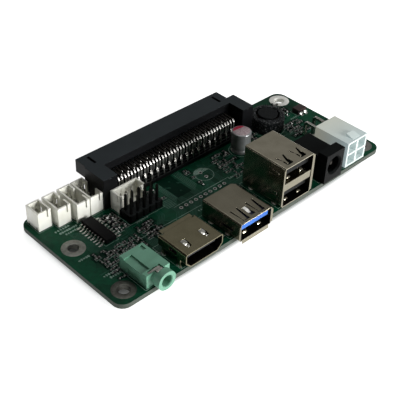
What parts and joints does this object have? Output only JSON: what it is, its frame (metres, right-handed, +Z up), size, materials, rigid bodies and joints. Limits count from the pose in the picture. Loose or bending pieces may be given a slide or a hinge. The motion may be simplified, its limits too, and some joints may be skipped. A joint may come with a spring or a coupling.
{
  "type": "single board computer",
  "caption": "Small green carrier computer board with a rear card connector, video, USB, audio and power sockets, wire headers and four mounting holes.",
  "frame": {"origin": "centre of the whole part's bounding box, at the level of the ends of the solder tails that it stands on", "axes": "+X along the front edge with the ports, to the right seen from the front; +Y to the back, towards the card connector; +Z up, out of the component side"},
  "size_m": [0.114, 0.052, 0.0177],
  "materials": {
    "solder_mask": "dark green solder mask over glass-fibre laminate",
    "tinned": "bright tin plate on copper",
    "black_plastic": "black moulded nylon, fine matt texture",
    "chip_plastic": "black moulding compound",
    "white_nylon": "natural white nylon",
    "clear_nylon": "translucent natural nylon",
    "mint_plastic": "light green moulded plastic",
    "blue_plastic": "blue moulded plastic",
    "nickel_steel": "nickel plated sheet steel",
    "contact_gold": "gold flashed spring bronze",
    "aluminium": "drawn aluminium can",
    "ferrite": null,
    "enamelled_copper": "enamelled copper wire",
    "rubber": "sealing rubber"
  },
  "bodies": {
    "board": {"audio_jack_ground_clip": "tinned", "audio_jack_housing": "mint_plastic", "capacitor_bung": "rubber", "capacitor_can": "aluminium", "capacitor_negative_lead": "tinned", "capacitor_positive_lead": "tinned", "circuit_board": "solder_mask", "control_chip_body": "chip_plastic", "control_chip_left_leads": "tinned", "control_chip_right_leads": "tinned", "dc_jack_centre_pin": "tinned", "dc_jack_housing": "black_plastic", "dc_jack_spring_terminal": "tinned", "edge_connector_housing": "black_plastic", "edge_connector_lower_contacts": "contact_gold", "edge_connector_tail_guide": "black_plastic", "edge_connector_upper_contacts": "contact_gold", "hdmi_contacts": "contact_gold", "hdmi_insulator": "black_plastic", "hdmi_shell": "nickel_steel", "inductor_core": "ferrite", "inductor_shield": "ferrite", "inductor_winding": "enamelled_copper", "mounting_hole_plating_1": "tinned", "mounting_hole_plating_2": "tinned", "mounting_hole_plating_3": "tinned", "mounting_hole_plating_4": "tinned", "pin_strip_base": "black_plastic", "pin_strip_pins": "tinned", "power_connector_housing": "clear_nylon", "power_diode_body": "chip_plastic", "power_diode_leads": "tinned", "power_pin_lower_left": "tinned", "power_pin_lower_right": "tinned", "power_pin_upper_left": "tinned", "power_pin_upper_right": "tinned", "usb2_lower_contacts": "contact_gold", "usb2_lower_insulator": "black_plastic", "usb2_stack_divider": "nickel_steel", "usb2_stack_shell": "nickel_steel", "usb2_upper_contacts": "contact_gold", "usb2_upper_insulator": "black_plastic", "usb3_fast_contacts": "contact_gold", "usb3_insulator": "blue_plastic", "usb3_shell": "nickel_steel", "usb3_signal_contacts": "contact_gold", "wire_header_a_housing": "white_nylon", "wire_header_a_pins": "tinned", "wire_header_b_housing": "white_nylon", "wire_header_b_pins": "tinned", "wire_header_c_housing": "white_nylon", "wire_header_c_pins": "tinned", "wire_header_d_housing": "white_nylon", "wire_header_d_pins": "tinned", "wire_header_e_housing": "white_nylon", "wire_header_e_pins": "tinned"},
    "audio_tip_spring": {"audio_jack_tip_spring": "contact_gold"},
    "audio_ring_spring": {"audio_jack_ring_spring": "contact_gold"},
    "dc_leaf_spring": {"dc_jack_leaf_spring": "contact_gold"}
  },
  "joints": [
    {"name": "audio_tip_spring_flex", "type": "hinge", "parent": "board", "child": "audio_tip_spring", "pos_m": [-0.04015, -0.01268, 0.0055], "axis": [0, 0, 1], "range_deg": [0, 4], "stiffness_Nm_per_rad": 0.12},
    {"name": "audio_ring_spring_flex", "type": "hinge", "parent": "board", "child": "audio_ring_spring", "pos_m": [-0.04535, -0.01268, 0.0055], "axis": [0, 0, -1], "range_deg": [0, 4], "stiffness_Nm_per_rad": 0.12},
    {"name": "dc_leaf_spring_flex", "type": "hinge", "parent": "board", "child": "dc_leaf_spring", "pos_m": [0.0299, -0.01218, 0.005], "axis": [1, 0, 0], "range_deg": [0, 5], "stiffness_Nm_per_rad": 0.12}
  ]
}
